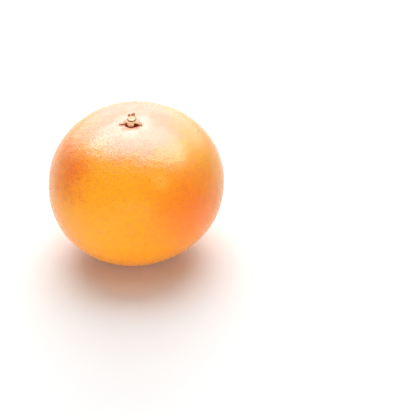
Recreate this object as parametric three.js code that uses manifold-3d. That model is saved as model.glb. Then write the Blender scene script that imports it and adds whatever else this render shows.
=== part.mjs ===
// A whole grapefruit, picked with its button still on and standing on its blossom end.
//
// Units are millimetres and +Z is up. The origin lies on the surface that the fruit stands on, under the
// middle of its outline. The fruit has three pieces that would come apart: the fruit itself, the calyx that
// lies on its stem end, and the stub of stem that was left in the calyx when the fruit was clipped.
//
// All three are built about the fruit's own axis, from the blossom end up to the stem end, with the fruit's
// middle at the origin. One group then leans them together, as a picked fruit stands.
import * as THREE from 'three';
import { mergeVertices } from 'three/addons/utils/BufferGeometryUtils.js';
import Module from 'manifold-3d';

const wasm = await Module();
wasm.setup();

// The fruit.
const EQUATOR_RADIUS = 55; // half its width, square to the axis
const POLE_RADIUS = 47.8; // half its height along the axis, before the dimple and the flat spot
const SHOULDER_POWER = 2.11; // 2 gives an ellipse, and more gives squarer shoulders
const GEODESIC_DETAIL = 14; // cuts along each edge of the icosahedron that the fruit starts from

// How far the rind swells out of round at the equator.
const OVAL_SWELL = 0.4; // widest to the back right and the front left
const THREE_SIDED_SWELL = 0.4;
const SKEW_SWELL = 0.5; // the right side is fuller above the equator, and the left side below it

// The dimple that the button sits in, with faint furrows that run over its edge.
const DIMPLE_DEPTH = 1.5;
const DIMPLE_SPREAD = THREE.MathUtils.degToRad(10);
const FURROWS = 7;
const FURROW_DEPTH = 0.2;
const FURROW_MIDDLE = THREE.MathUtils.degToRad(17);
const FURROW_SPREAD = THREE.MathUtils.degToRad(6);

// How the fruit stands.
const LEAN_LEFT = THREE.MathUtils.degToRad(1.2); // of the stem end, towards -X
const LEAN_FORWARD = THREE.MathUtils.degToRad(7.2); // of the stem end, towards -Y
const FLAT_DEPTH = 0.6; // pressed flat where the fruit rests

// The stub of stem. Heights on the button are over the rind.
const GAP = 0.3; // between pieces that touch
const STEM_RADIUS = 2.2;
const STEM_SIDES = 36;
const CUT_HEIGHT = 3.4;
const CUT_RADIUS = 2.8; // of the bark that curls out round the cut
const CUT_THICKNESS = 0.4; // of that bark
const CUT_DISH = 0.2; // the pith's fall inside the bark
const CUT_SLANT = THREE.MathUtils.degToRad(4); // of the cut, falling towards -Y

// The calyx: a cup with a rolled lip, which runs out into sepals.
const LIP_RADIUS = 3.6; // to the crest of the lip
const LIP_HEIGHT = 2.8;
const CUP_HEIGHT = 2.4; // of its top at the stem
const EDGE_RADIUS = 4.3; // of its edge between the sepals
const EDGE_HEIGHT = 2.4;
const CALYX_THICKNESS = 0.6;
const FALL_WIDTH = 1.8; // within which a sepal that lies down falls from the lip to the rind
const STEPS_OUT = 11;
const STEPS_AROUND = 72;

// The five sepals: the direction each one points in about the axis (0 is +X and 90 is +Y), how far it
// reaches past the cup's edge, the height of its tip, the angle that its root takes up, and how sharply it
// narrows (under 1 is blunt, over 1 is drawn to a point).
const SEPALS = [
  { points: 80, reach: 0.6, tip: 4.0, width: 50, taper: 0.9 },
  { points: 115, reach: 0.4, tip: 3.3, width: 50, taper: 0.9 },
  { points: 195, reach: 3.6, tip: 0.9, width: 46, taper: 1.5 },
  { points: 270, reach: 1.0, tip: 0.9, width: 64, taper: 0.7 },
  { points: 330, reach: 3.2, tip: 1.1, width: 68, taper: 1.2 },
];

const { lerp, smoothstep, clamp, euclideanModulo, radToDeg } = THREE.MathUtils;

// The distance from the fruit's middle to its rind, in the direction that lies polar away from the stem end
// and turns around the axis. Both are in radians.
function rindRadius(polar, around) {
  const out = Math.sin(polar);
  const up = Math.cos(polar);
  const power = SHOULDER_POWER;
  const round = ((out / EQUATOR_RADIUS) ** power + (Math.abs(up) / POLE_RADIUS) ** power) ** (-1 / power);
  const swell =
    OVAL_SWELL * out ** 2 * Math.sin(2 * around) +
    THREE_SIDED_SWELL * out ** 3 * Math.cos(3 * around) +
    SKEW_SWELL * out ** 3 * up * Math.cos(around);
  const dimple = DIMPLE_DEPTH * Math.exp(-((polar / DIMPLE_SPREAD) ** 2));
  const overEdge = Math.exp(-(((polar - FURROW_MIDDLE) / FURROW_SPREAD) ** 2));
  const furrow = FURROW_DEPTH * overEdge * Math.sin(FURROWS * around + Math.cos(2 * around));
  return round + swell - dimple - furrow;
}

function rindPoint(polar, around) {
  const radius = rindRadius(polar, around);
  const distance = radius * Math.sin(polar);
  return new THREE.Vector3(
    distance * Math.cos(around),
    distance * Math.sin(around),
    radius * Math.cos(polar),
  );
}

// The point of the rind at a distance from the axis, near the stem end.
function rindAtDistance(distance, around) {
  return rindPoint(Math.asin(distance / rindRadius(0, 0)), around);
}

// Moves each vertex of a geometry to the point that place gives for it and for its turn about the axis,
// which runs from 0 to 1.
function reshape(geometry, place) {
  const position = geometry.getAttribute('position');
  const uv = geometry.getAttribute('uv');
  const from = new THREE.Vector3();
  for (let i = 0; i < position.count; i++) {
    from.fromBufferAttribute(position, i);
    const to = place(from, uv.getX(i));
    position.setXYZ(i, to.x, to.y, to.z);
  }
  return geometry;
}

// A closed geometry as a solid that can be cut, and back.
function toSolid(geometry) {
  const bare = geometry.clone();
  bare.deleteAttribute('normal');
  bare.deleteAttribute('uv');
  const merged = mergeVertices(bare);
  const vertProperties = merged.getAttribute('position').array;
  const triVerts = new Uint32Array(merged.getIndex().array);
  return new wasm.Manifold(new wasm.Mesh({ numProp: 3, vertProperties, triVerts }));
}

function toGeometry(solid) {
  const mesh = solid.getMesh();
  const geometry = new THREE.BufferGeometry();
  geometry.setAttribute('position', new THREE.BufferAttribute(mesh.vertProperties, 3));
  geometry.setIndex(new THREE.BufferAttribute(mesh.triVerts, 1));
  geometry.computeVertexNormals();
  return geometry;
}

// The rind all round: a geodesic ball, whose faces are nearly all of one size, drawn out to the rind.
function makeRoundFruit() {
  return reshape(new THREE.IcosahedronGeometry(1, GEODESIC_DETAIL), (direction) =>
    rindPoint(Math.acos(clamp(direction.z, -1, 1)), Math.atan2(direction.y, direction.x)),
  );
}

// Leans a group as the fruit stands, and sets it over the origin with its lowest FLAT_DEPTH below the
// surface.
function standOnBlossomEnd(group) {
  group.rotation.set(LEAN_FORWARD, -LEAN_LEFT, 0);
  group.updateMatrixWorld(true);
  const box = new THREE.Box3().setFromObject(group, true);
  const middle = box.getCenter(new THREE.Vector3());
  group.position.set(-middle.x, -middle.y, -box.min.z - FLAT_DEPTH);
  group.updateMatrixWorld(true);
}

// Takes off what lies below the surface, which leaves the flat spot that the fruit rests on.
function flattenFoot(fruit) {
  const side = 3 * EQUATOR_RADIUS;
  const below = new THREE.BoxGeometry(side, side, side)
    .translate(0, 0, -side / 2)
    .applyMatrix4(fruit.matrixWorld.clone().invert());
  fruit.geometry = toGeometry(toSolid(fruit.geometry).subtract(toSolid(below)));
}

// How much of a sepal there is in a direction: 1 along its middle, falling to 0 at the sides of its root.
function sepalShare(sepal, around) {
  const turn = euclideanModulo(radToDeg(around) - sepal.points + 180, 360) - 180;
  return Math.max(0, 1 - Math.abs(turn) / (sepal.width / 2)) ** sepal.taper;
}

// The calyx: a collar on the rind round the stem, which spreads into the cup's lip. The lip stands clear of
// the rind and runs out into the sepals, of which some fall to the rind and the others stay up. The section
// is a loop, out along the underside and back along the top, turned about the axis and then put in place.
function makeCalyx() {
  const section = [];
  for (let i = 0; i <= STEPS_OUT; i++) section.push(new THREE.Vector2(1 + i / STEPS_OUT, 0));
  for (let i = STEPS_OUT; i >= 0; i--) section.push(new THREE.Vector2(1 + i / STEPS_OUT, 1));
  section.push(section[0].clone());

  return reshape(new THREE.LatheGeometry(section, STEPS_AROUND), (from, turn) => {
    const out = Math.hypot(from.x, from.z) - 1; // 0 at the stem and 1 at the edge or the tip
    const onTop = from.y; // 0 on the underside and 1 on the top
    const around = turn * 2 * Math.PI;
    let edgeRadius = EDGE_RADIUS;
    let edgeHeight = EDGE_HEIGHT;
    for (const sepal of SEPALS) {
      const share = sepalShare(sepal, around);
      edgeRadius += share * sepal.reach;
      edgeHeight += share * (sepal.tip - EDGE_HEIGHT);
    }
    const radius = lerp(STEM_RADIUS + GAP, edgeRadius, out);
    const upToLip = smoothstep(radius, STEM_RADIUS + GAP, LIP_RADIUS);
    const pastLip = smoothstep(radius, LIP_RADIUS, Math.min(edgeRadius, LIP_RADIUS + FALL_WIDTH));
    const top = lerp(lerp(CUP_HEIGHT, LIP_HEIGHT, upToLip), edgeHeight, pastLip);
    const underside = lerp(GAP, top - CALYX_THICKNESS, upToLip);
    const point = rindAtDistance(radius, around);
    point.z += lerp(underside, top, onTop);
    return point;
  });
}

// The stub of stem, which ends in a cut whose bark has curled out round the dished pith.
function makeStem() {
  const profile = [
    [0, GAP],
    [STEM_RADIUS, GAP],
    [STEM_RADIUS, CUT_HEIGHT - 2 * CUT_THICKNESS],
    [CUT_RADIUS, CUT_HEIGHT - CUT_THICKNESS],
    [CUT_RADIUS, CUT_HEIGHT],
    [CUT_RADIUS - CUT_THICKNESS, CUT_HEIGHT],
    [CUT_RADIUS - 2 * CUT_THICKNESS, CUT_HEIGHT - CUT_DISH],
    [0, CUT_HEIGHT - CUT_DISH],
  ].map(([radius, height]) => new THREE.Vector2(radius, height));

  return reshape(new THREE.LatheGeometry(profile, STEM_SIDES).rotateX(Math.PI / 2), (point) => {
    const atCut = smoothstep(point.z, GAP, CUT_HEIGHT - CUT_THICKNESS);
    point.z += atCut * point.y * Math.tan(CUT_SLANT);
    return point;
  });
}

function makeMesh(name, geometry, color, roughness) {
  const mesh = new THREE.Mesh(geometry, new THREE.MeshStandardMaterial({ color, roughness, metalness: 0 }));
  mesh.name = name;
  return mesh;
}

const grapefruit = new THREE.Group();
const leaning = new THREE.Group();
grapefruit.add(leaning);

const fruit = makeMesh('fruit', makeRoundFruit(), '#f7a122', 0.42);
leaning.add(fruit);
standOnBlossomEnd(leaning);
flattenFoot(fruit);

leaning.add(makeMesh('calyx', makeCalyx(), '#a98552', 0.8));

const stem = makeMesh('stem_stub', makeStem(), '#e3c896', 0.85);
stem.position.z = rindRadius(0, 0);
leaning.add(stem);

export default grapefruit;
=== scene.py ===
# %% [markdown]
# # A grapefruit on a white table
#
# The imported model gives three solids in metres: the fruit, the calyx on its stem end, and the stub of stem
# in the calyx. Their shapes and sizes are right, but their surfaces are smooth and their colours are flat.
# Here each one gets a visible piece that stands for it: a waxy, pitted peel, a dry calyx and a cut stem.

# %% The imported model, which is the frame for everything else
import math

import bpy
from mathutils import Matrix, Vector


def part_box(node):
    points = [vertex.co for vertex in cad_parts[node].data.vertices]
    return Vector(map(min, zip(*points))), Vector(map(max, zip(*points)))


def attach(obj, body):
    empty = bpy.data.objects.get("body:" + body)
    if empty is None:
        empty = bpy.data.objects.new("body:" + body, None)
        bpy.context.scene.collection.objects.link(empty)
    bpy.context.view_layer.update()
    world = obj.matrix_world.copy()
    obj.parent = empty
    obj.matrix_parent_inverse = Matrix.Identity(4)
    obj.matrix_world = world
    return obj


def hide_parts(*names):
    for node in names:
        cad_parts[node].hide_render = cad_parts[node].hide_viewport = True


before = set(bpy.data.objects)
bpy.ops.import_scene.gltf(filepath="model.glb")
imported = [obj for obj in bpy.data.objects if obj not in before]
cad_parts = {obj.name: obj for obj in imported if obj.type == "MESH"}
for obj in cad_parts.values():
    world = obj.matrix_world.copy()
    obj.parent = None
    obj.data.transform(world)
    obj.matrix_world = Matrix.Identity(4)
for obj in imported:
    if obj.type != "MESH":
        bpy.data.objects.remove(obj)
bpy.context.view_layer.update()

MM = 0.001
fruit_low, fruit_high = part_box("fruit")
fruit_size = fruit_high - fruit_low
fruit_middle = (fruit_low + fruit_high) / 2
print("fruit, mm:", [round(side / MM, 1) for side in fruit_size])

# %% [markdown]
# ## Where the stem stands
#
# The fruit leans a little, and its stem and calyx lean with it. The stub of stem has a flat foot square to
# the fruit's own axis, so the foot's normal gives the axis and the middle of the foot gives its place. The
# button is modelled upright at the origin, where it is easy to shape, and one matrix then carries it there.

# %% The seat of the button: its origin on the rind and its Z along the fruit's axis
TOUCHING_GAP = 0.3 * MM  # what the solids keep between pieces that touch

stub_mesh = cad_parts["stem_stub"].data
foot_faces = [face for face in stub_mesh.polygons if face.normal.z < -0.98]
axis = -sum((face.normal * face.area for face in foot_faces), Vector()).normalized()
foot_area = sum(face.area for face in foot_faces)
foot_middle = sum((face.center * face.area for face in foot_faces), Vector()) / foot_area
seat = Matrix.Translation(foot_middle - axis * TOUCHING_GAP) @ Vector((0, 0, 1)).rotation_difference(
    axis
).to_matrix().to_4x4()
print("the axis leans, degrees:", round(math.degrees(axis.angle(Vector((0, 0, 1)))), 2))

# %% [markdown]
# ## Small helpers
#
# Blender's operators work on whatever is selected, and the frame leaves its own nodes selected. So each
# step first makes one piece the only selected one. A modifier is added, set and applied in one go.

# %% Selecting a piece and applying a modifier
def select_only(piece):
    bpy.ops.object.select_all(action="DESELECT")
    piece.select_set(True)
    bpy.context.view_layer.objects.active = piece


def apply_modifier(piece, kind, **settings):
    select_only(piece)
    modifier = piece.modifiers.new(kind.lower(), kind)
    for name, value in settings.items():
        setattr(modifier, name, value)
    bpy.ops.object.modifier_apply(modifier=modifier.name)


def triangles(piece):
    return sum(len(face.vertices) - 2 for face in piece.data.polygons)


# %% [markdown]
# ## The peel
#
# A grapefruit's peel is one unbroken skin, so it is modelled from one closed ball. An icosphere is the best
# start: its triangles are all of nearly one size and it has no poles, so the fine relief comes out alike
# all over. The ball is drawn onto a smooth copy of the solid with Shrinkwrap, as if the rind were shrunk
# onto it. The solid's own mesh is never changed: the copy has its loose triangles merged and is rounded by
# a subdivision surface first, so that its facets don't show through.

# %% The ball, cut fine enough for the rind's relief
BALL_CUTS = 11

guide = bpy.data.objects.new("smooth_guide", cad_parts["fruit"].data.copy())
bpy.context.collection.objects.link(guide)
select_only(guide)
bpy.ops.object.mode_set(mode="EDIT")
bpy.ops.mesh.select_all(action="SELECT")
bpy.ops.mesh.remove_doubles(threshold=0.001 * MM)
bpy.ops.object.mode_set(mode="OBJECT")
apply_modifier(guide, "SUBSURF", levels=2, render_levels=2)

bpy.ops.object.select_all(action="DESELECT")
bpy.ops.mesh.primitive_ico_sphere_add(subdivisions=4, radius=fruit_size.x / 2, location=fruit_middle)
peel = bpy.context.active_object
peel.name = "peel"
bpy.ops.object.mode_set(mode="EDIT")
bpy.ops.mesh.select_all(action="SELECT")
bpy.ops.mesh.subdivide(number_cuts=BALL_CUTS)
bpy.ops.transform.tosphere(value=1)
bpy.ops.transform.resize(value=(1, fruit_size.y / fruit_size.x, fruit_size.z / fruit_size.x))
bpy.ops.object.mode_set(mode="OBJECT")
bpy.ops.object.transform_apply(location=True, rotation=True, scale=True)
apply_modifier(peel, "SHRINKWRAP", target=guide, wrap_method="NEAREST_SURFACEPOINT")
bpy.data.objects.remove(guide)
print("peel:", triangles(peel), "triangles")

# %% [markdown]
# ## The rind's relief
#
# A citrus rind isn't a smooth shell. It swells gently over the segments and falls in between them, and on
# top of that it is pebbled, because the oil glands lie just under the skin. The swells and the pebbles are
# real geometry, made with Displace modifiers that only push inwards, so that the fruit keeps its size. A
# vertex group holds them back at the foot, which the fruit's own weight has pressed flat on the table. The
# single pores are finer than the mesh, so they are left to the material.

# %% Gentle swells and pebbles
SWELL_WIDTH = 20 * MM
SWELL_DEPTH = 0.45 * MM
PEBBLE_WIDTH = 3.4 * MM
PEBBLE_DEPTH = 0.13 * MM
FOOT_FADE = 1.2 * MM  # height over the table within which the relief comes in


def displace(piece, name, kind, width, depth, **settings):
    texture = bpy.data.textures.new(name, kind)
    texture.noise_scale = width
    apply_modifier(piece, "DISPLACE", texture=texture, texture_coords="LOCAL", strength=depth, **settings)


off_the_table = peel.vertex_groups.new(name="off the table")
for point in peel.data.vertices:
    off_the_table.add([point.index], max(0, min(1, point.co.z / FOOT_FADE)), "REPLACE")
for name, kind, width, depth in (
    ("rind swells", "CLOUDS", SWELL_WIDTH, SWELL_DEPTH),
    ("rind pebbles", "VORONOI", PEBBLE_WIDTH, PEBBLE_DEPTH),
):
    displace(peel, name, kind, width, depth, mid_level=1, vertex_group=off_the_table.name)
select_only(peel)
bpy.ops.object.shade_smooth()

# %% [markdown]
# ## The stub of stem
#
# The fruit was clipped from the tree, which left a short stub of woody stem. It is modelled as a turner
# would make it, upright at the origin: a low cylinder whose top is extruded ring by ring, narrower at the
# waist and wider where the bark has dried and curled out round the cut. Insets then make the bark's rim and
# let the pale wood sink inside it. Heights are over the rind.

# %% Selecting by place, and growing rings from a selection
def select_faces(piece, wanted):
    select_only(piece)
    bpy.ops.object.mode_set(mode="EDIT")
    bpy.ops.mesh.select_mode(type="FACE")
    bpy.ops.mesh.select_all(action="DESELECT")
    bpy.ops.object.mode_set(mode="OBJECT")
    for face in piece.data.polygons:
        face.select = wanted(face)
    bpy.ops.object.mode_set(mode="EDIT")


def select_points(piece, wanted):
    select_only(piece)
    bpy.ops.object.mode_set(mode="EDIT")
    bpy.ops.mesh.select_mode(type="VERT")
    bpy.ops.mesh.select_all(action="DESELECT")
    bpy.ops.object.mode_set(mode="OBJECT")
    for point in piece.data.vertices:
        point.select = wanted(point.co)
    bpy.ops.object.mode_set(mode="EDIT")


def scale_rings(across, along=1):
    bpy.ops.transform.resize(value=(across, across, along), center_override=(0, 0, 0))


# %% The stub, ring by ring
STEM_RADIUS = 2.2 * MM
STEM_FOOT = 0.35 * MM
CUT_HEIGHT = 3.36 * MM
# The radius and height of each ring, in millimetres: the waist, the curl of the bark and its edge.
STEM_RINGS = [(2.1, 1.5), (2.1, 2.3), (2.3, 2.62), (2.46, 2.88), (2.52, 3.12), (2.44, CUT_HEIGHT / MM)]
RIM_WIDTH = 0.3 * MM
CUT_DISH = 0.2 * MM
CUT_SLANT = math.radians(4)

bpy.ops.object.select_all(action="DESELECT")
bpy.ops.mesh.primitive_cylinder_add(
    vertices=40, radius=STEM_RADIUS, depth=0.4 * MM, location=(0, 0, STEM_FOOT + 0.2 * MM)
)
stem = bpy.context.active_object
stem.name = "cut_stem"
bpy.ops.object.transform_apply(location=True)
select_faces(stem, lambda face: face.normal.z > 0.9)
radius, height = STEM_RADIUS, STEM_FOOT + 0.4 * MM
for ring_radius, ring_height in STEM_RINGS:
    climb = ring_height * MM - height
    bpy.ops.mesh.extrude_region_move(TRANSFORM_OT_translate={"value": (0, 0, climb)})
    scale_rings(ring_radius * MM / radius)
    radius, height = ring_radius * MM, ring_height * MM
bpy.ops.mesh.inset(thickness=RIM_WIDTH)
bpy.ops.mesh.inset(thickness=0.12 * MM, depth=-CUT_DISH)
for width in (0.6, 0.7, 0.4):
    bpy.ops.mesh.inset(thickness=width * MM)
bpy.ops.object.mode_set(mode="OBJECT")
apply_modifier(stem, "SUBSURF", levels=2, render_levels=2)
for point in stem.data.vertices:
    share = max(0, min(1, (point.co.z - STEM_FOOT) / (CUT_HEIGHT - STEM_FOOT)))
    point.co.z += share * share * math.tan(CUT_SLANT) * point.co.y
displace(stem, "stem grain", "CLOUDS", 0.5 * MM, 0.12 * MM, mid_level=0.5)
displace(stem, "stem lumps", "CLOUDS", 2.2 * MM, 0.3 * MM, mid_level=0.5)
print("stem:", triangles(stem), "triangles")

# %% [markdown]
# ## The calyx
#
# The calyx is the green cup of the flower, dried brown: five sepals grown together at their root, with a
# rolled lip round the stem. It is a sheet, so it starts from a circle of edges, which is extruded outwards
# ring by ring into the cup. Each sepal is then drawn out of the lip's own edges, row by row, narrower each
# time. The whole cup is turned before each one so that the sepal points along X, which leaves only simple
# moves: out, down, and narrower across. Solidify gives the sheet its thickness at the end.

# %% The cup and its lip
CUP_RINGS = [(2.55, 1.5), (2.62, 2.0), (2.8, 2.35), (3.1, 2.5), (3.5, 2.42), (3.9, 2.1)]  # as for the stub
CUP_FOOT = 0.9 * MM
CUP_POINTS = 72

bpy.ops.object.select_all(action="DESELECT")
bpy.ops.mesh.primitive_circle_add(vertices=CUP_POINTS, radius=CUP_RINGS[0][0] * MM, location=(0, 0, CUP_FOOT))
calyx = bpy.context.active_object
calyx.name = "dry_calyx"
bpy.ops.object.transform_apply(location=True)
bpy.ops.object.mode_set(mode="EDIT")
bpy.ops.mesh.select_all(action="SELECT")
radius, height = CUP_RINGS[0][0] * MM, CUP_FOOT
for ring_radius, ring_height in CUP_RINGS:
    climb = ring_height * MM - height
    bpy.ops.mesh.extrude_edges_move(TRANSFORM_OT_translate={"value": (0, 0, climb)})
    scale_rings(ring_radius * MM / radius)
    radius, height = ring_radius * MM, ring_height * MM
bpy.ops.object.mode_set(mode="OBJECT")

# %% The five sepals
# Each one points in a direction about the axis, in degrees, and takes up an angle of the lip at its root. Its
# rows give how far out it is from the lip, how high over the rind, and what share of its root's width is
# left. The two at the back stand up, and the others have dried down onto the rind. No two roots share an
# edge of the lip, which would leave three faces on one edge.
SEPALS = [
    (82, 38, [(0.15, 2.6, 1.0), (0.4, 3.1, 1.04), (0.7, 3.5, 0.9), (0.9, 3.8, 0.5)]),
    (116, 24, [(0.15, 2.55, 1.1), (0.35, 2.95, 1.35), (0.55, 3.3, 1.15), (0.7, 3.5, 0.65)]),
    (197, 40, [(0.6, 1.35, 0.85), (1.4, 0.75, 0.66), (2.5, 0.6, 0.5), (3.7, 0.66, 0.32), (4.4, 0.85, 0.12)]),
    (262, 72, [(0.4, 1.6, 1.0), (0.75, 1.05, 0.94), (1.05, 0.7, 0.78), (1.2, 0.6, 0.45)]),
    (332, 62, [(0.7, 1.7, 0.9), (1.6, 1.15, 0.76), (2.4, 0.85, 0.56), (3.0, 0.72, 0.34), (3.4, 0.8, 0.12)]),
]


def turn(piece, degrees):
    piece.data.transform(Matrix.Rotation(math.radians(degrees), 4, "Z"))


lip_radius, lip_height = (size * MM for size in CUP_RINGS[-1])
for points_to, root_angle, rows in SEPALS:
    turn(calyx, -points_to)
    select_points(
        calyx,
        lambda place: place.xy.length > lip_radius - 0.01 * MM
        and abs(place.z - lip_height) < 0.01 * MM
        and abs(math.atan2(place.y, place.x)) < math.radians(root_angle / 2),
    )
    out, height, width = 0, lip_height, 1
    for row_out, row_height, row_width in rows:
        step = ((row_out - out) * MM, 0, row_height * MM - height)
        bpy.ops.mesh.extrude_edges_move(TRANSFORM_OT_translate={"value": step})
        bpy.ops.transform.resize(value=(1, row_width / width, 1), center_override=(0, 0, 0))
        out, height, width = row_out, row_height * MM, row_width
    bpy.ops.object.mode_set(mode="OBJECT")
    turn(calyx, points_to)
print("calyx sheet:", len(calyx.data.polygons), "faces")

# %% The sheet gets its thickness, and dries unevenly
select_only(calyx)
bpy.ops.object.mode_set(mode="EDIT")
bpy.ops.mesh.select_all(action="SELECT")
bpy.ops.mesh.normals_make_consistent(inside=False)
bpy.ops.object.mode_set(mode="OBJECT")
apply_modifier(calyx, "SOLIDIFY", thickness=0.45 * MM, offset=0)
apply_modifier(calyx, "SUBSURF", levels=2, render_levels=2)
displace(calyx, "dry creases", "CLOUDS", 1.6 * MM, 0.4 * MM, mid_level=0.5)
displace(calyx, "dry wrinkles", "CLOUDS", 0.45 * MM, 0.14 * MM, mid_level=0.5)
print("calyx:", triangles(calyx), "triangles")

# %% [markdown]
# ## Setting the button on the fruit
#
# Both pieces were made over a flat rind. The stub stands in the middle of the dimple, where the rind is
# flat. The calyx reaches out to where the rind rises, so each of its points is lifted by the height of the
# rind under it, found by casting a ray at the peel along the fruit's axis. Then the seat's matrix carries
# both to their place, and it goes into their meshes, which leaves their objects at the origin. How far each
# point was from the axis and over the rind is kept as an attribute, for the materials.

# %% Laying the pieces over the rind, and placing them
def rind_height(x, y):
    start = seat @ Vector((x, y, 8 * MM))
    hit, place, _, _ = peel.ray_cast(start, -axis)
    return (seat.inverted() @ place).z if hit else 0


for piece in (stem, calyx):
    distances = [point.co.xy.length for point in piece.data.vertices]
    heights = [point.co.z for point in piece.data.vertices]
    for name, values in (("from_axis", distances), ("over_rind", heights)):
        piece.data.attributes.new(name, "FLOAT", "POINT").data.foreach_set("value", values)
for point in calyx.data.vertices:
    point.co.z += rind_height(point.co.x, point.co.y)
for piece in (stem, calyx):
    piece.data.transform(seat)
    select_only(piece)
    bpy.ops.object.shade_smooth()
print("button's highest point, mm:", round(max(point.co.z for point in calyx.data.vertices) / MM, 1))

# %% [markdown]
# ## Colours and nodes
#
# Colours are written as they are picked, in sRGB, and turned to the linear values that a shader works with.
# One small function adds a node, sets it up and links it.

# %% Turning colours to linear and adding nodes
def linear(hex_colour):
    channels = [int(hex_colour[i : i + 2], 16) / 255 for i in (1, 3, 5)]
    return [c / 12.92 if c <= 0.04045 else ((c + 0.055) / 1.055) ** 2.4 for c in channels] + [1]


def add_node(material, kind, inputs=None, **settings):
    node = material.node_tree.nodes.new("ShaderNode" + kind)
    for name, value in settings.items():
        setattr(node, name, value)
    for name, value in (inputs or {}).items():
        if isinstance(value, bpy.types.NodeSocket):
            material.node_tree.links.new(value, node.inputs[name])
        else:
            node.inputs[name].default_value = value
    return node


def new_material(name):
    material = bpy.data.materials.new(name)
    material.use_nodes = True
    material.node_tree.nodes.clear()
    return material


def mix_colours(material, share, first, second, blend="MIX"):
    """first where share is 0 and second where it is 1."""
    mix = add_node(material, "Mix", {0: share, 6: first, 7: second}, data_type="RGBA", blend_type=blend)
    return mix.outputs[2]


def finish_material(material, shader, piece):
    add_node(material, "OutputMaterial", {"Surface": shader.outputs[0]})
    piece.data.materials.clear()
    piece.data.materials.append(material)


# %% [markdown]
# ## Waxed citrus rind
#
# The rind is a living skin full of oil glands, and shops sell it with a thin coat of wax. To the eye that
# gives three things: an orange-yellow that drifts from cheek to cheek, a fine even speckle of pores that
# are a little darker than the skin between them, and a soft gloss that breaks up over the pores. The colour
# drifts by direction from the fruit's middle, because a rind colours by how each side of it faced the sun.
# Some of the tints are painted light, not the rind's own colour: a painted highlight that makes the top pale
# and peach, a painted reflection at the front, and a deeper orange on the right that is partly painted light.

# %% How the rind's colour drifts
DRIFT_WIDTH = 38 * MM
BLOTCH_WIDTH = 9 * MM
UNEVEN_EDGE = 30  # degrees that the edge of a tint wanders

# Where on the fruit each tint is strongest, as a direction from its middle, and how far round it reaches.
# The tints marked as painted stand for light on the rind, not for its own colour.
BLUSH = "#F07408"
TINTS_AND_PAINTED_LIGHT = [
    ("#FFAE2C", (0.80, -0.40, 0.45), 10, 40),  # a paler, yellower shoulder
    ("#FFA614", (-0.50, -0.86, -0.10), 10, 50),  # yellow low down at the front
    ("#FC8000", (0.66, -0.74, 0.05), 5, 56),  # a deeper orange round to the right, partly painted reflected orange light
    ("#FA9434", (-0.76, -0.18, 0.63), 4, 32),  # the upper edge of the blushed cheek
    (BLUSH, (-0.67, -0.56, 0.48), 2, 31),  # the cheek that faced the sun
    ("#FFB036", (0.33, -0.80, 0.50), 2, 16),  # a painted highlight: a faint pale patch at the front, where a weak lamp is reflected
    ("#FF8A5C", (0.0, -0.10, 0.98), 27, 54),  # a peach top, paled further as a painted highlight of the wide gloss there
    ("#FFAC90", (0.0, -0.14, 0.98), 8, 24),  # paler still close round the stem: a painted highlight over the dimple
]


def turned_to(material, direction, towards, full, reach, unevenness):
    """1 where the surface's direction is within full degrees of towards, falling to 0 at reach."""
    facing = add_node(
        material, "VectorMath", {0: direction, 1: Vector(towards).normalized()}, operation="DOT_PRODUCT"
    ).outputs["Value"]
    angle = add_node(material, "Math", {0: facing}, operation="ARCCOSINE").outputs[0]
    wandering = add_node(
        material, "Math", {0: unevenness, 1: math.radians(UNEVEN_EDGE), 2: angle}, operation="MULTIPLY_ADD"
    ).outputs[0]
    shift = UNEVEN_EDGE / 2
    return add_node(
        material,
        "MapRange",
        {
            "Value": wandering,
            "From Min": math.radians(reach + shift),
            "From Max": math.radians(full + shift),
        },
        interpolation_type="SMOOTHSTEP",
    ).outputs[0]


rind = new_material("waxed citrus rind")
place = add_node(rind, "TexCoord").outputs["Object"]
from_middle = add_node(rind, "VectorMath", {0: place, 1: fruit_middle}, operation="SUBTRACT").outputs[0]
direction = add_node(rind, "VectorMath", {0: from_middle}, operation="NORMALIZE").outputs[0]
drift = add_node(rind, "TexNoise", {"Vector": place, "Scale": 1 / DRIFT_WIDTH, "Detail": 3}).outputs[0]
blotch = add_node(rind, "TexNoise", {"Vector": place, "Scale": 1 / BLOTCH_WIDTH, "Detail": 4}).outputs[0]
uneven = add_node(rind, "Math", {0: blotch, 1: 0.35, 2: drift}, operation="MULTIPLY_ADD").outputs[0]

skin = mix_colours(rind, drift, linear("#FF9600"), linear("#FFA80C"))
shares = {}
for tint, towards, full, reach in TINTS_AND_PAINTED_LIGHT:
    shares[tint] = turned_to(rind, direction, towards, full, reach, uneven)
    skin = mix_colours(rind, shares[tint], skin, linear(tint))
print("rind tints:", len(TINTS_AND_PAINTED_LIGHT))

# %% [markdown]
# ## The scar round the stem, with painted shade under the calyx
#
# Where the calyx grew on the rind, a ring of cork has formed, dark brown and ragged at its edge. The same
# dark ring is also painted shade: it stands for the shade under the calyx, is mostly hidden, and shows as
# the darkness between the sepals. A smaller, paler scar at the other end is all that is left of the blossom.
# Both are placed in the shader, by the distance from the fruit's axis.

# %% Dark cork under the calyx, which is also painted shade
CORK_AND_SHADE_RADIUS = 4.7 * MM
CORK_AND_SHADE_OFFSET = (0, -0.45 * MM, 0)  # the calyx doesn't sit quite in its middle
CORK_AND_SHADE_EDGE = 0.7 * MM
RAGGEDNESS = 1.6 * MM  # how far the edges of the cork ring with its painted shade, and of the blossom's scar, wander

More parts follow.
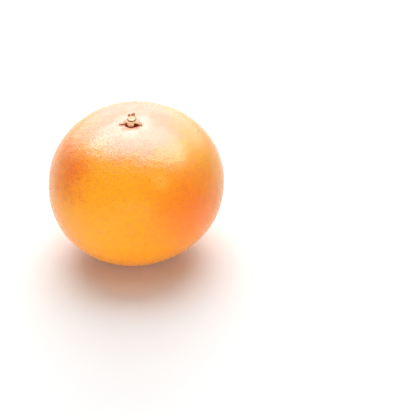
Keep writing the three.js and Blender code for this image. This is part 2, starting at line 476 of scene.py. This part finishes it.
cork_and_shade_middle = seat.translation + Vector(CORK_AND_SHADE_OFFSET)
from_seat = add_node(rind, "VectorMath", {0: place, 1: cork_and_shade_middle}, operation="SUBTRACT").outputs[0]
across = add_node(rind, "VectorMath", {0: from_seat, 1: axis}, operation="CROSS_PRODUCT").outputs[0]
from_stem = add_node(rind, "VectorMath", {0: across}, operation="LENGTH").outputs["Value"]
ragged = add_node(rind, "TexNoise", {"Vector": place, "Scale": 1 / (2 * MM), "Detail": 3}).outputs[0]
from_stem = add_node(
    rind, "Math", {0: ragged, 1: RAGGEDNESS, 2: from_stem}, operation="MULTIPLY_ADD"
).outputs[0]
from_middle_up = add_node(
    rind, "VectorMath", {0: from_middle, 1: axis}, operation="DOT_PRODUCT"
).outputs["Value"]
above = add_node(rind, "Math", {0: from_middle_up, 1: 0}, operation="GREATER_THAN").outputs[0]
cork_and_shade = add_node(
    rind,
    "MapRange",
    {
        "Value": from_stem,
        "From Min": CORK_AND_SHADE_RADIUS + RAGGEDNESS / 2 + CORK_AND_SHADE_EDGE,
        "From Max": CORK_AND_SHADE_RADIUS + RAGGEDNESS / 2,
    },
    interpolation_type="SMOOTHSTEP",
).outputs[0]
cork_and_shade = add_node(rind, "Math", {0: cork_and_shade, 1: above}, operation="MULTIPLY").outputs[0]
# Painted shade: the dark cork colour also stands for the shade under the calyx.
skin = mix_colours(rind, cork_and_shade, skin, linear("#843408"))

# %% The blossom's scar at the other end
BLOSSOM_SCAR = 2.4 * MM
below = add_node(rind, "Math", {0: 1, 1: above}, operation="SUBTRACT").outputs[0]
blossom_scar = add_node(
    rind,
    "MapRange",
    {"Value": from_stem, "From Min": BLOSSOM_SCAR + 1.2 * MM, "From Max": BLOSSOM_SCAR + 0.6 * MM},
    interpolation_type="SMOOTHSTEP",
).outputs[0]
blossom_scar = add_node(rind, "Math", {0: blossom_scar, 1: below}, operation="MULTIPLY").outputs[0]
cork = mix_colours(rind, ragged, linear("#8A5C2C"), linear("#C4A066"))
skin = mix_colours(rind, blossom_scar, skin, cork)

# %% [markdown]
# ## Pores
#
# The glands of a real grapefruit lie about 1.1 mm apart. A Voronoi pattern gives each gland its own cell,
# and the distance from the cell's middle gives the pit over it. The pits are unevenly dark, and darkest on
# the cheek that faced the sun, so a noise fades some of them and the blush's share strengthens them. A
# finer noise roughens the skin between them, and small specks come from a noise that is cut off high up.

# %% The pores, the grain between them and the specks
PORE_SPACING = 1.1 * MM
PORE_DEPTH = 0.075 * MM
GRAIN_SPACING = 0.45 * MM
SPECK_WIDTH = 1.6 * MM

pores = add_node(
    rind,
    "TexVoronoi",
    {"Vector": place, "Scale": 1 / PORE_SPACING, "Smoothness": 0.3, "Randomness": 0.85},
    feature="SMOOTH_F1",
).outputs["Distance"]
skin_height = add_node(
    rind,
    "MapRange",
    {"Value": pores, "From Min": 0.08, "From Max": 0.6},
    interpolation_type="SMOOTHSTEP",
).outputs[0]
unevenness = add_node(rind, "TexNoise", {"Vector": place, "Scale": 1 / (3 * PORE_SPACING)}).outputs[0]
pore_strength = add_node(
    rind, "MapRange", {"Value": unevenness, "From Min": 0.35, "From Max": 0.65, "To Min": 0.5, "To Max": 0.8}
).outputs[0]
pore_strength = add_node(
    rind, "Math", {0: shares[BLUSH], 1: 0.8, 2: pore_strength}, operation="MULTIPLY_ADD"
).outputs[0]
in_pore = add_node(rind, "Math", {0: 1, 1: skin_height}, operation="SUBTRACT").outputs[0]
darkness = add_node(rind, "Math", {0: in_pore, 1: pore_strength}, operation="MULTIPLY").outputs[0]
speckled = mix_colours(rind, 1, skin, linear("#D8B070"), "MULTIPLY")
skin = mix_colours(rind, darkness, skin, speckled)

specks = add_node(rind, "TexNoise", {"Vector": place, "Scale": 1 / SPECK_WIDTH, "Detail": 1}).outputs[0]
speck = add_node(
    rind, "MapRange", {"Value": specks, "From Min": 0.76, "From Max": 0.82, "To Max": 0.4}
).outputs[0]
skin = mix_colours(rind, speck, skin, linear("#B9702A"))

# %% The shader of the rind
grain = add_node(rind, "TexNoise", {"Vector": place, "Scale": 1 / GRAIN_SPACING, "Detail": 2}).outputs[0]
height = add_node(rind, "Math", {0: grain, 1: 0.3, 2: skin_height}, operation="MULTIPLY_ADD").outputs[0]
pitted = add_node(rind, "Bump", {"Height": height, "Strength": 1, "Distance": PORE_DEPTH}).outputs[0]
wax = add_node(rind, "MapRange", {"Value": skin_height, "To Min": 0.36, "To Max": 0.27}).outputs[0]
wax = add_node(rind, "Math", {0: cork_and_shade, 1: 0.5, 2: wax}, operation="MULTIPLY_ADD").outputs[0]
waxed = add_node(rind, "MapRange", {"Value": cork_and_shade, "To Min": 0.5, "To Max": 0}).outputs[0]
rind_shader = add_node(
    rind,
    "BsdfPrincipled",
    {
        "Base Color": skin,
        "Roughness": wax,
        "Specular IOR Level": waxed,  # none on the dark cork ring, which is also painted shade, where there is no wax
        "Normal": pitted,
        "IOR": 1.38,  # a plant's skin, a little over water's 1.33, with the wax as a coat on it
        "Subsurface Weight": 0.1,
        "Subsurface Radius": (1.0, 0.45, 0.12),
        "Subsurface Scale": 3 * MM,
        "Coat Weight": 0.2,
        "Coat Roughness": 0.2,
        "Coat IOR": 1.5,
        "Coat Normal": pitted,
        "Sheen Weight": 0.08,
        "Sheen Roughness": 0.35,
    },
)
finish_material(rind, rind_shader, peel)

# %% [markdown]
# ## Cut, dried stem
#
# The stub is a twig of citrus wood, clipped a few days ago. The cut face shows pale, dry fibre round a
# darker pith, and the bark round it has dried to a greyish tan. Wood and bark are both dull. The cut is told
# from the bark by the distance from the stub's axis, which each point has kept since it was modelled.

# %% The stem's material
FIBRE_SPACING = 0.35 * MM
BARK_GRAIN = 0.6 * MM

twig = new_material("dry citrus twig")
place = add_node(twig, "TexCoord").outputs["Object"]
out = add_node(twig, "Attribute", attribute_name="from_axis").outputs["Fac"]
up = add_node(twig, "Attribute", attribute_name="over_rind").outputs["Fac"]
fibres = add_node(twig, "TexNoise", {"Vector": place, "Scale": 1 / FIBRE_SPACING, "Detail": 4}).outputs[0]
bark_grain = add_node(twig, "TexNoise", {"Vector": place, "Scale": 1 / BARK_GRAIN, "Detail": 5}).outputs[0]

wood = mix_colours(twig, fibres, linear("#CFA57C"), linear("#FADDBA"))
bark = mix_colours(twig, bark_grain, linear("#7C6238"), linear("#CDA56E"))
low_bark = mix_colours(twig, bark_grain, linear("#7E6438"), linear("#BC9A60"))
bark_height = add_node(
    twig,
    "MapRange",
    {"Value": up, "From Min": 2.2 * MM, "From Max": 3.1 * MM},
    interpolation_type="SMOOTHSTEP",
).outputs[0]
bark = mix_colours(twig, bark_height, low_bark, bark)
ragged_out = add_node(twig, "Math", {0: fibres, 1: 0.3 * MM, 2: out}, operation="MULTIPLY_ADD").outputs[0]
on_top = add_node(
    twig, "MapRange", {"Value": up, "From Min": 2.95 * MM, "From Max": 3.1 * MM}
).outputs[0]
inside = add_node(
    twig, "MapRange", {"Value": ragged_out, "From Min": 2.5 * MM, "From Max": 2.25 * MM}
).outputs[0]
on_cut = add_node(twig, "Math", {0: on_top, 1: inside}, operation="MULTIPLY").outputs[0]
pith = add_node(
    twig, "MapRange", {"Value": ragged_out, "From Min": 0.75 * MM, "From Max": 0.4 * MM, "To Max": 0.5}
).outputs[0]
wood = mix_colours(twig, pith, wood, linear("#B98D58"))
twig_colour = mix_colours(twig, on_cut, bark, wood)
fibrous = add_node(twig, "Bump", {"Height": fibres, "Strength": 1, "Distance": 0.08 * MM}).outputs[0]
twig_shader = add_node(
    twig,
    "BsdfPrincipled",
    {"Base Color": twig_colour, "Roughness": 0.82, "Normal": fibrous, "IOR": 1.45},
)
finish_material(twig, twig_shader, stem)

# %% [markdown]
# ## Dried sepals
#
# The calyx was green and fleshy, and has dried to thin brown parchment. It is palest on the rolled lip,
# where the light has bleached it, and goes reddish brown towards the tips and in its wrinkles. Where it lies
# low over the rind it is painted dark reddish brown, partly its own colour and partly painted shade.

# %% The calyx's material
WRINKLE_SPACING = 0.7 * MM

parchment = new_material("dried sepal")
place = add_node(parchment, "TexCoord").outputs["Object"]
out = add_node(parchment, "Attribute", attribute_name="from_axis").outputs["Fac"]
up = add_node(parchment, "Attribute", attribute_name="over_rind").outputs["Fac"]
wrinkles = add_node(
    parchment, "TexNoise", {"Vector": place, "Scale": 1 / WRINKLE_SPACING, "Detail": 5, "Roughness": 0.6}
).outputs[0]

lip = mix_colours(parchment, wrinkles, linear("#C48C62"), linear("#FBCBA0"))
sepal = mix_colours(parchment, wrinkles, linear("#A46440"), linear("#ECAC7E"))
# Partly painted shade: the dark colour where the calyx lies low over the rind.
low_and_shaded_colour = mix_colours(parchment, wrinkles, linear("#4E1C08"), linear("#86441E"))
tip = mix_colours(parchment, wrinkles, linear("#76502A"), linear("#B58850"))
past_lip = add_node(
    parchment,
    "MapRange",
    {"Value": out, "From Min": 4.2 * MM, "From Max": 5.2 * MM},
    interpolation_type="SMOOTHSTEP",
).outputs[0]
colour = mix_colours(parchment, past_lip, lip, sepal)
near_tip = add_node(
    parchment, "MapRange", {"Value": out, "From Min": 6.4 * MM, "From Max": 7.8 * MM, "To Max": 0.8}
).outputs[0]
colour = mix_colours(parchment, near_tip, colour, tip)
raised = add_node(
    parchment, "MapRange", {"Value": up, "From Min": 2.95 * MM, "From Max": 3.4 * MM}
).outputs[0]
colour = mix_colours(parchment, raised, colour, tip)
# Darkest low over the rind: partly the sepals' own colour, partly painted shade beneath and between them.
low_and_shaded_share = add_node(
    parchment, "MapRange", {"Value": up, "From Min": 1.0 * MM, "From Max": 0.45 * MM}
).outputs[0]
colour = mix_colours(parchment, low_and_shaded_share, colour, low_and_shaded_colour)
wrinkled = add_node(parchment, "Bump", {"Height": wrinkles, "Strength": 1, "Distance": 0.12 * MM}).outputs[0]
parchment_shader = add_node(
    parchment,
    "BsdfPrincipled",
    {"Base Color": colour, "Roughness": 0.72, "Normal": wrinkled, "IOR": 1.45},
)
finish_material(parchment, parchment_shader, calyx)

# %% [markdown]
# ## What each piece stands for
#
# Each visible piece takes the place of one solid, which stays in the model for collisions. Nothing moves
# on a grapefruit, so all three ride on its root.

# %% Replacing the solids
for piece, node, slot in ((peel, "fruit", "rind"), (calyx, "calyx", "calyx"), (stem, "stem_stub", "stem")):
    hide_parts(node)
    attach(piece, "root")
    print(piece.name, "stands for", node)

# %% [markdown]
# ## The table and the light
#
# The fruit stands on white paper that runs out of sight, in a white room. Far from the fruit the paper fades
# to the room's white as the camera sees it, so that no horizon shows, and near the fruit it keeps its shadow.
# The room looks white to the camera and in reflections, but it lights things far less than that, which
# leaves the form to the lamps: softboxes above and behind, which throw the shadow forward, and a low panel
# by the camera, which lights the front of the fruit and hardly touches the table.
#
# The gloss is lit apart, as a photographer places cards for it. The lamps that light the colours aren't
# reflected, and two more panels are seen only in the wax: one makes the wide pale patch on the shoulder, and
# one brightens the far edge. Their light adds nothing to the colours.

# %% White paper
bpy.ops.object.select_all(action="DESELECT")
bpy.ops.mesh.primitive_plane_add(size=6)
floor = bpy.context.active_object
floor.name = "floor"
paper = new_material("matt white paper")
on_paper = add_node(paper, "TexCoord").outputs["Object"]
far_off = add_node(paper, "VectorMath", {0: on_paper}, operation="LENGTH").outputs["Value"]
far_off = add_node(paper, "MapRange", {"Value": far_off, "From Min": 0.35, "From Max": 0.8}).outputs[0]
by_camera = add_node(paper, "LightPath").outputs["Is Camera Ray"]
faded = add_node(paper, "Math", {0: far_off, 1: by_camera}, operation="MULTIPLY").outputs[0]
matt = add_node(paper, "BsdfDiffuse", {"Color": (0.9, 0.9, 0.9, 1)}).outputs[0]
white = add_node(paper, "Emission", {"Strength": 1}).outputs[0]
finish_material(paper, add_node(paper, "MixShader", {0: faded, 1: matt, 2: white}), floor)

# %% The room
ROOM_LIGHT = 0.2

world = bpy.data.worlds.new("white room")
bpy.context.scene.world = world
world.use_nodes = True
world.node_tree.nodes.clear()
path = add_node(world, "LightPath")
seen = add_node(
    world, "Math", {0: path.outputs["Is Camera Ray"], 1: path.outputs["Is Glossy Ray"]}, operation="MAXIMUM"
).outputs[0]
seen = add_node(
    world, "Math", {0: seen, 1: path.outputs["Is Transmission Ray"]}, operation="MAXIMUM"
).outputs[0]
strength = add_node(world, "MapRange", {"Value": seen, "To Min": ROOM_LIGHT, "To Max": 1}).outputs[0]
room = add_node(world, "Background", {"Strength": strength})
add_node(world, "OutputWorld", {"Surface": room.outputs[0]})

# %% The lamps
def aim(thing, place, target):
    thing.location = place
    thing.rotation_euler = (target - thing.location).to_track_quat("-Z", "Y").to_euler()


def add_panel(name, width, height, watts, place):
    light = bpy.data.lights.new(name, "AREA")
    light.shape = "ELLIPSE"  # no corners, which would show in the wax
    light.size, light.size_y, light.energy = width, height, watts
    panel = bpy.data.objects.new(name, light)
    bpy.context.collection.objects.link(panel)
    aim(panel, Vector(place), fruit_middle)
    panel.visible_camera = False
    return panel


add_panel("big softbox behind the fruit", 1.8, 1.35, 16, (0, 0.6, 1.2)).visible_glossy = False
add_panel("softbox over the fruit", 1.1, 1.1, 3, (0, 0, 1)).visible_glossy = False
add_panel("panel at the back", 1.4, 0.56, 10, (0, 1.2, 0.6)).visible_glossy = False
add_panel("low front panel", 1.6, 0.34, 10, (0, -1.2, 0.2)).visible_glossy = False
add_panel("softbox seen in the wax", 1.3, 0.56, 20, (0.04, 0.16, 0.6)).visible_diffuse = False
add_panel("lit backdrop seen in the wax", 3.8, 1.9, 58, (0, 1.4, 0.95)).visible_diffuse = False

# %% [markdown]
# ## The camera
#
# The fruit is seen from just under a metre away with a long lens, from 32 degrees above the table. It stands
# at the left of the frame, so the camera aims at a point beside it.

# %% Setting up the camera
CAMERA_ELEVATION = math.radians(32)
CAMERA_DISTANCE = 0.975
LENS = 132.6
aim_point = Vector((45.8, 0, 27.6)) * MM

camera = bpy.data.objects.new("camera", bpy.data.cameras.new("camera"))
bpy.context.collection.objects.link(camera)
camera.data.lens = LENS
camera.data.sensor_width = 36
camera.data.clip_start = 0.01
back = Vector((0, -math.cos(CAMERA_ELEVATION), math.sin(CAMERA_ELEVATION)))
aim(camera, aim_point + back * CAMERA_DISTANCE, aim_point)
bpy.context.scene.camera = camera
bpy.context.scene.view_settings.view_transform = "Standard"
